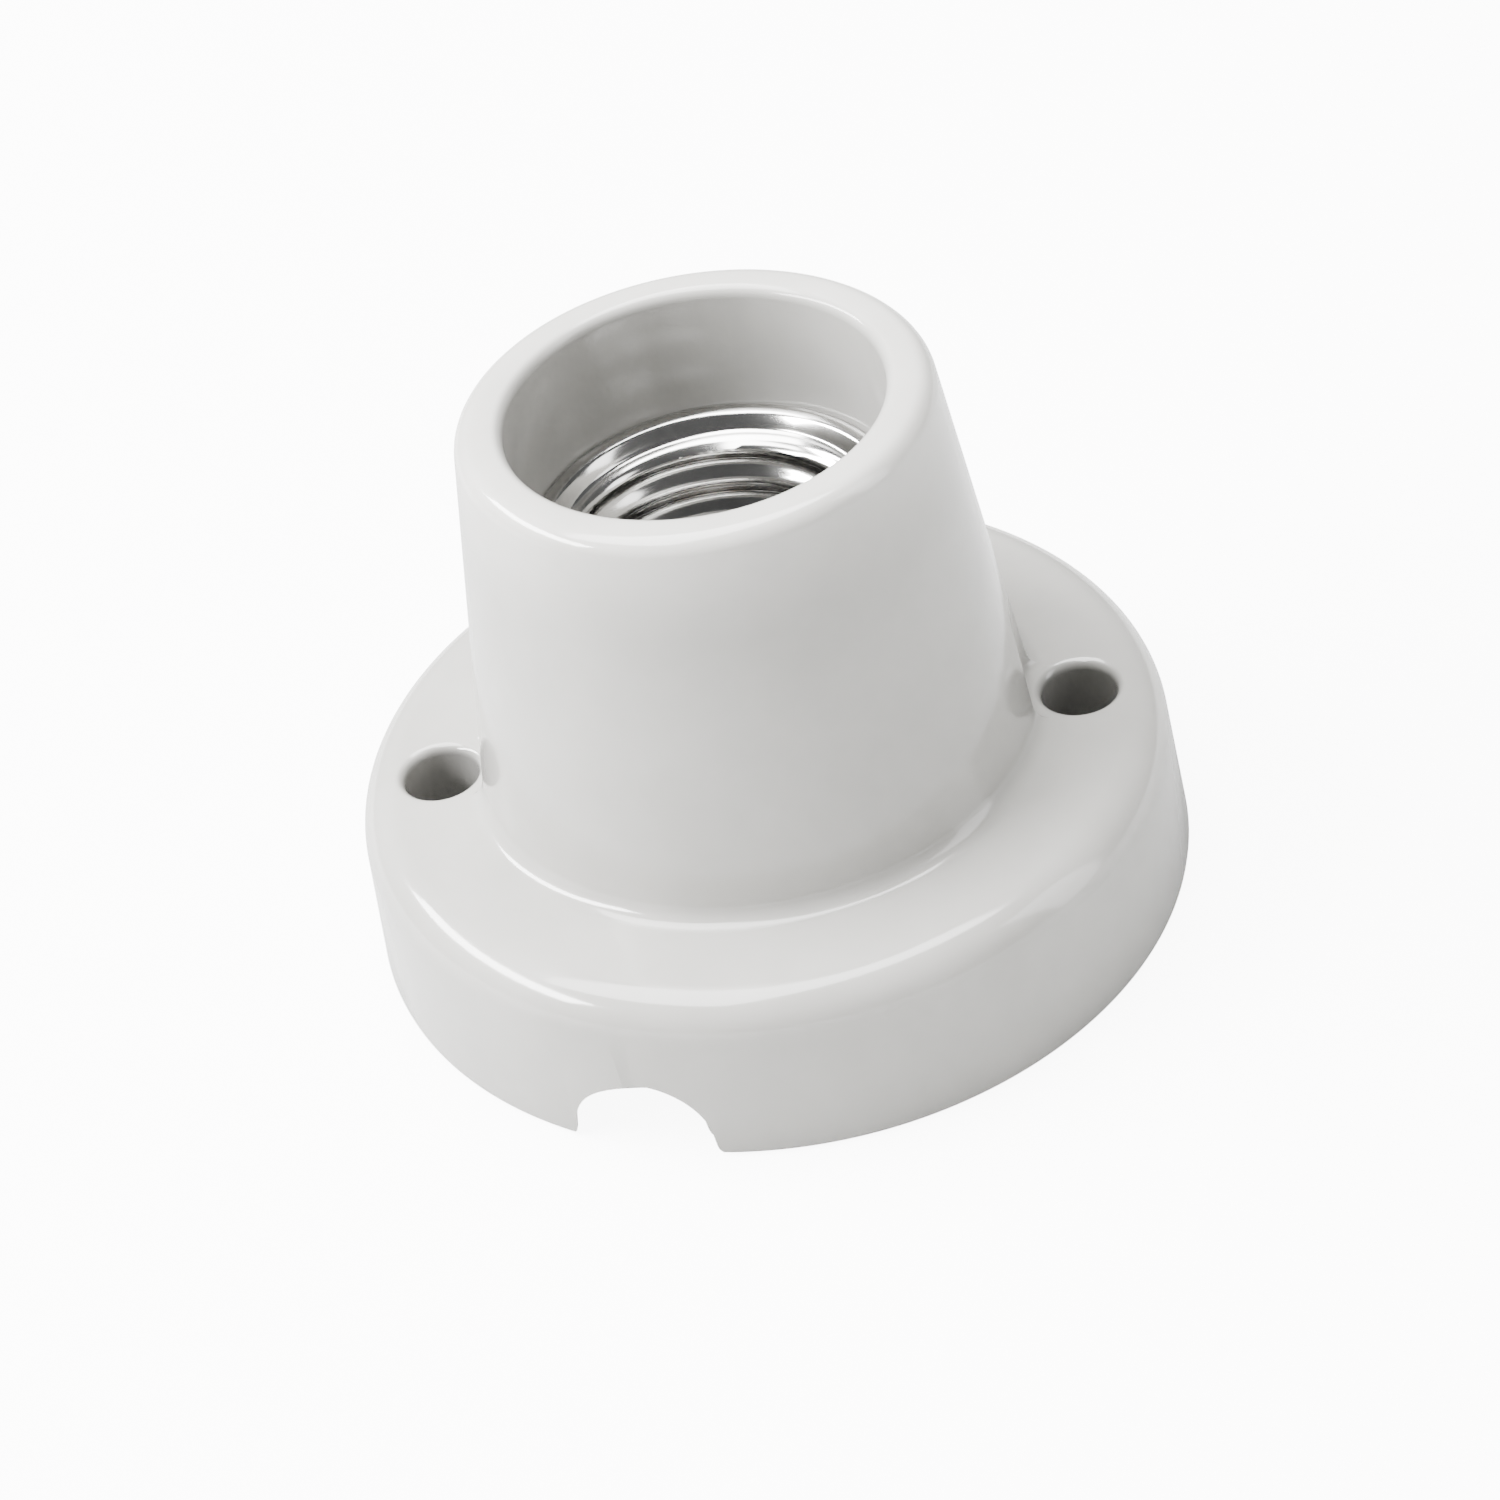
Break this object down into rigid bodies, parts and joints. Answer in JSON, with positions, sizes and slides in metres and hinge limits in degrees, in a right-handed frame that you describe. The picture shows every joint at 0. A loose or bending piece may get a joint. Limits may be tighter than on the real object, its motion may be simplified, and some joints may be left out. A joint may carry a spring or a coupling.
{
  "type": "lamp holder",
  "caption": "White glazed porcelain surface lamp holder with a round two-hole base, tapered neck and nickel plated E27 screw shell",
  "frame": {"origin": "centre of the base's rear face, at the bottom centre of the bounding box", "axes": "+Z out of the lamp mouth, X through the two fixing holes, -Y towards the viewer of the picture"},
  "size_m": [0.075, 0.075, 0.0523],
  "materials": {
    "white_glazed_porcelain": "clear gloss glaze on white porcelain",
    "nickel_plated_shell": "bright nickel plating on rolled sheet",
    "bronze_leaf": "satin phosphor bronze spring sheet",
    "contact_metal": "plated contact rivet",
    "plated_steel_screw": "nickel plated steel",
    "plated_steel_nut": "zinc plated steel",
    "plated_steel_washer": "nickel plated steel sheet",
    "terminal_brass": "satin folded brass sheet"
  },
  "bodies": {
    "holder": {"porcelain_body": "white_glazed_porcelain", "thread_shell": "nickel_plated_shell", "centre_contact": "bronze_leaf", "neutral_shell_screw": "plated_steel_screw", "plain_shell_screw": "plated_steel_screw", "centre_contact_screw": "plated_steel_screw", "shell_nut": "plated_steel_nut", "shell_spring_washer": "plated_steel_nut", "neutral_terminal": "terminal_brass", "live_terminal": "terminal_brass"},
    "contact_button": {"contact_button": "contact_metal"},
    "neutral_clamp": {"neutral_clamp_washer": "plated_steel_washer"},
    "live_clamp": {"live_clamp_washer": "plated_steel_washer"},
    "neutral_screw": {"neutral_terminal_screw": "plated_steel_screw"},
    "live_screw": {"live_terminal_screw": "plated_steel_screw"}
  },
  "joints": [
    {"name": "contact_press", "type": "slide", "parent": "holder", "child": "contact_button", "axis": [0, 0, -1], "range_m": [0, 0.0015], "stiffness_N_per_m": 2500, "springref_m": -0.0004, "deforming": ["centre_contact"]},
    {"name": "neutral_clamp_lift", "type": "slide", "parent": "holder", "child": "neutral_clamp", "axis": [0, 0, -1], "range_m": [0, 0.0012]},
    {"name": "neutral_screw_turn", "type": "hinge", "parent": "neutral_clamp", "child": "neutral_screw", "pos_m": [-0.0165, 0, 0.0068], "axis": [0, 0, -1], "range_deg": [0, 720]},
    {"name": "live_clamp_lift", "type": "slide", "parent": "holder", "child": "live_clamp", "axis": [0, 0, -1], "range_m": [0, 0.0012]},
    {"name": "live_screw_turn", "type": "hinge", "parent": "live_clamp", "child": "live_screw", "pos_m": [0, -0.0165, 0.0068], "axis": [0, 0, -1], "range_deg": [0, 720]}
  ],
  "couplings": [
    {"joint": "neutral_screw_turn", "follows": "neutral_clamp_lift", "rad_per_m": 10472},
    {"joint": "live_screw_turn", "follows": "live_clamp_lift", "rad_per_m": 10472}
  ]
}
